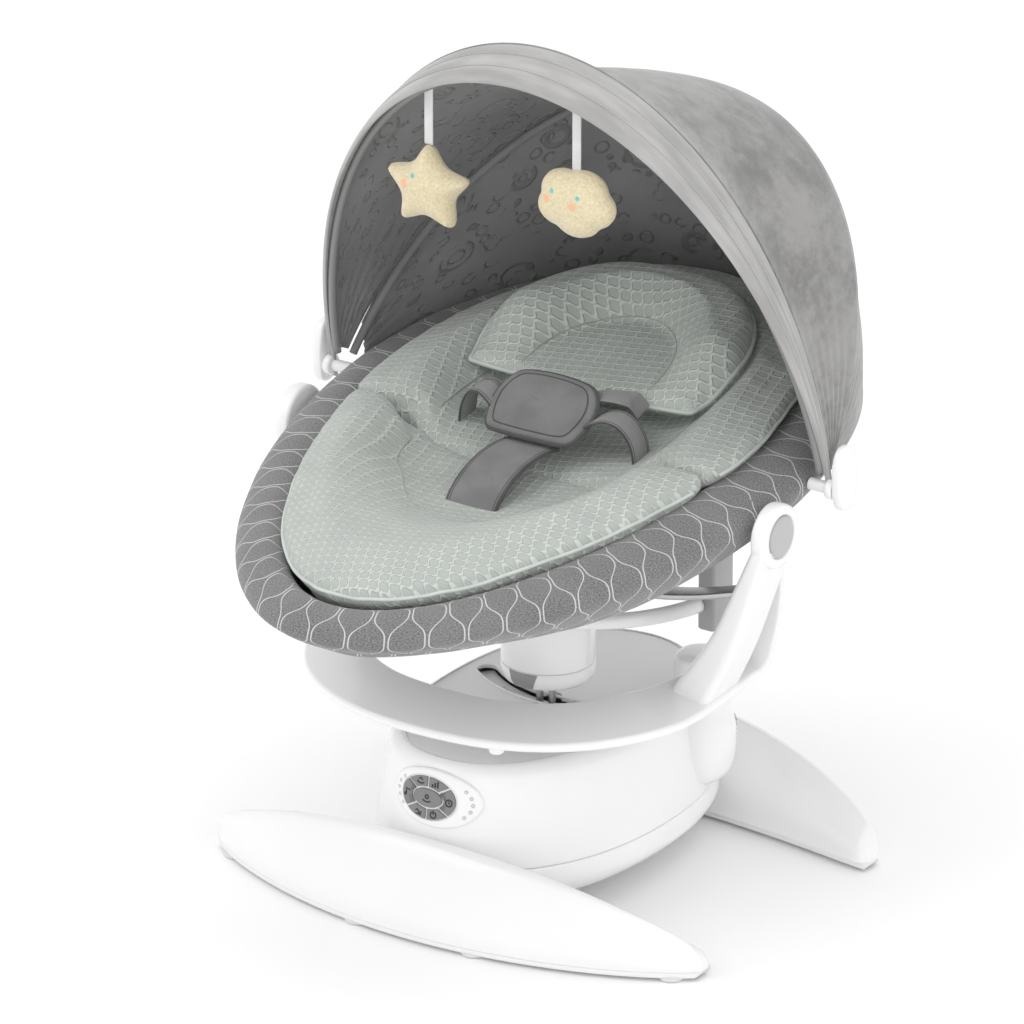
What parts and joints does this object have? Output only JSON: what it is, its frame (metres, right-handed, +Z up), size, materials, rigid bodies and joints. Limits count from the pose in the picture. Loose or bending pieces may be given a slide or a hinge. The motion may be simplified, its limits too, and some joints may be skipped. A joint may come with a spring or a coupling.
{
  "type": "electric baby swing",
  "caption": "Motorised baby swing: two curved blade feet, an oval base, a column and ring that sway, a reclining padded oval seat and a folding canopy with hanging toys.",
  "frame": {"origin": "on the floor, under the middle of the whole swing", "axes": "+Z up, -Y towards the foot end and the control panel, +Y towards the head end, +X to the side that carries the speaker tower"},
  "size_m": [0.514, 0.6236, 0.7022],
  "materials": {
    "shell": "gloss white moulding",
    "inner_shell": "satin light grey moulding",
    "trim": "satin grey moulding",
    "keypad": "dark grey soft-touch keys",
    "sole": "matt white plate with soft pads",
    "steel": "plain steel",
    "copper": "enamelled copper winding",
    "board": "green circuit board",
    "magnet": "sintered magnet",
    "basket": "grey woven cover with a light wave pattern",
    "pad": "pale green embossed quilting",
    "strap": "grey webbing and padded harness",
    "canopy": "mottled grey velvet outside, dark embossed lining inside",
    "band": "light grey rim binding",
    "bow": "light grey coated wire bow",
    "plush": "cream plush",
    "ribbon": "white ribbon"
  },
  "bodies": {
    "base": {"base_cover": "shell", "base_tray": "shell", "top_dish": "shell", "speaker_tower": "shell", "speaker_grille": "trim", "speaker_driver": "magnet", "front_foot": "shell", "rear_foot": "shell", "front_foot_sole": "sole", "rear_foot_sole": "sole", "panel_bezel": "shell", "control_board": "board", "drive_coil": "copper", "pivot_bearing_lower": "steel", "pivot_bearing_upper": "steel", "power_inlet": "trim"},
    "swing": {"pivot_shaft": "steel", "carrier_arm": "steel", "drive_magnet": "magnet", "slot_shield": "inner_shell", "column_tube": "shell", "column_collar": "shell", "collar_accent": "trim", "frame_cross_bar": "steel", "swing_ring": "shell", "arm_right": "shell", "arm_left": "shell", "hub_cap_right": "trim", "hub_cap_left": "trim"},
    "seat": {"seat_basket": "basket", "seat_frame_tube": "steel", "support_hoop": "shell", "hoop_bracket_right": "trim", "hoop_bracket_left": "trim", "lower_pad": "pad", "upper_pad": "pad", "head_pillow": "pad", "crotch_strap": "strap", "harness_pad": "strap", "waist_strap_right": "strap", "waist_strap_left": "strap", "canopy_hub_right": "shell", "canopy_hub_left": "shell"},
    "canopy_rear": {"canopy_rear_bow": "bow", "canopy_rear_panel": "canopy"},
    "canopy_front": {"canopy_front_bow": "bow", "canopy_rim_band": "band", "canopy_front_panel": "canopy"},
    "star": {"star_strap": "ribbon", "star_toy": "plush"},
    "cloud": {"cloud_strap": "ribbon", "cloud_toy": "plush"},
    "key_centre": {"key_centre": "keypad"},
    "key_ring_1": {"key_ring_1": "keypad"},
    "key_ring_2": {"key_ring_2": "keypad"},
    "key_ring_3": {"key_ring_3": "keypad"},
    "key_ring_4": {"key_ring_4": "keypad"},
    "key_ring_5": {"key_ring_5": "keypad"},
    "key_ring_6": {"key_ring_6": "keypad"}
  },
  "joints": [
    {"name": "sway", "type": "hinge", "parent": "base", "child": "swing", "pos_m": [0, 0.1426, 0.112], "axis": [0, 0, 1], "range_deg": [-20, 20]},
    {"name": "recline", "type": "hinge", "parent": "swing", "child": "seat", "pos_m": [0, -0.0044, 0.343], "axis": [1, 0, 0], "range_deg": [-6, 8]},
    {"name": "canopy_rear_fold", "type": "hinge", "parent": "seat", "child": "canopy_rear", "pos_m": [0, 0.0596, 0.364], "axis": [1, 0, 0], "range_deg": [-20, 0], "deforming": ["canopy_rear_panel"]},
    {"name": "canopy_front_fold", "type": "hinge", "parent": "canopy_rear", "child": "canopy_front", "pos_m": [0, 0.0596, 0.364], "axis": [1, 0, 0], "range_deg": [-40, 0], "deforming": ["canopy_front_panel"]},
    {"name": "star_swing", "type": "hinge", "parent": "canopy_front", "child": "star", "pos_m": [-0.092, -0.01631, 0.65041], "axis": [1, 0, 0], "range_deg": [-30, 30]},
    {"name": "cloud_swing", "type": "hinge", "parent": "canopy_front", "child": "cloud", "pos_m": [0.052, -0.02094, 0.66971], "axis": [1, 0, 0], "range_deg": [-30, 30]},
    {"name": "key_centre_press", "type": "slide", "parent": "base", "child": "key_centre", "axis": [0, 1, 0], "range_m": [0, 0.0008], "stiffness_N_per_m": 900},
    {"name": "key_ring_1_press", "type": "slide", "parent": "base", "child": "key_ring_1", "axis": [0, 1, 0], "range_m": [0, 0.0008], "stiffness_N_per_m": 900},
    {"name": "key_ring_2_press", "type": "slide", "parent": "base", "child": "key_ring_2", "axis": [0, 1, 0], "range_m": [0, 0.0008], "stiffness_N_per_m": 900},
    {"name": "key_ring_3_press", "type": "slide", "parent": "base", "child": "key_ring_3", "axis": [0, 1, 0], "range_m": [0, 0.0008], "stiffness_N_per_m": 900},
    {"name": "key_ring_4_press", "type": "slide", "parent": "base", "child": "key_ring_4", "axis": [0, 1, 0], "range_m": [0, 0.0008], "stiffness_N_per_m": 900},
    {"name": "key_ring_5_press", "type": "slide", "parent": "base", "child": "key_ring_5", "axis": [0, 1, 0], "range_m": [0, 0.0008], "stiffness_N_per_m": 900},
    {"name": "key_ring_6_press", "type": "slide", "parent": "base", "child": "key_ring_6", "axis": [0, 1, 0], "range_m": [0, 0.0008], "stiffness_N_per_m": 900}
  ],
  "couplings": [
    {"joint": "canopy_front_fold", "follows": "canopy_rear_fold", "ratio": 2}
  ]
}
